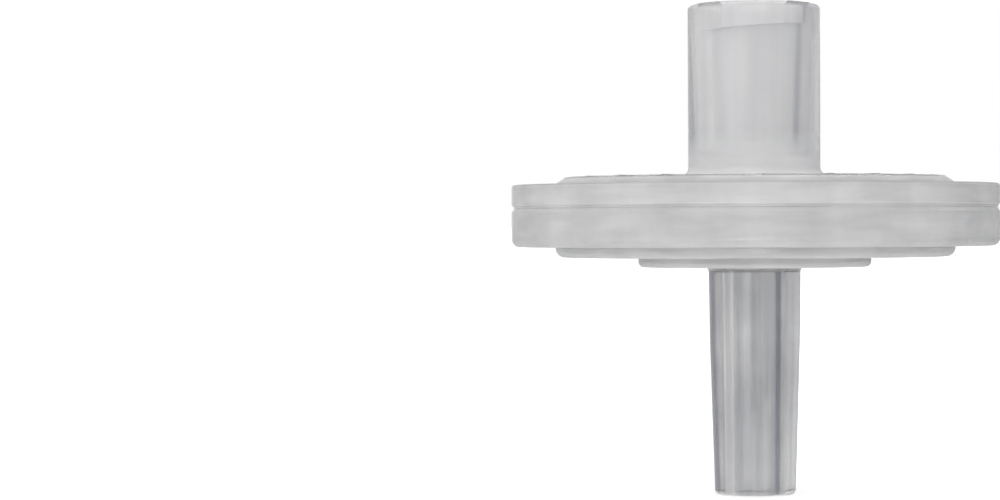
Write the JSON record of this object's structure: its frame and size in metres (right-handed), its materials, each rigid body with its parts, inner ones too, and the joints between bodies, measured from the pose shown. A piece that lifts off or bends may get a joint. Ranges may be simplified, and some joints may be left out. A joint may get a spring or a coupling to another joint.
{
  "type": "syringe filter",
  "caption": "Disc-shaped syringe filter in translucent polypropylene: a Luer lock inlet hub with lugs, a welded rim round a membrane, and a tapered Luer slip outlet spigot.",
  "frame": {"origin": "centre of the outlet spigot's flat tip, the lowest point", "axes": "+Z along the flow axis, from the outlet tip up to the inlet mouth; the two lock lugs point along +Y and -Y"},
  "size_m": [0.024, 0.024, 0.0241],
  "materials": {
    "inlet_shell": "natural polypropylene, milky and translucent, satin mould surface",
    "membrane": "white porous fluoropolymer film, matt",
    "outlet_shell": "natural polypropylene, translucent, polished on the tapered spigot"
  },
  "bodies": {
    "root": {"inlet_housing": "inlet_shell", "membrane": "membrane", "outlet_housing": "outlet_shell"}
  },
  "joints": []
}
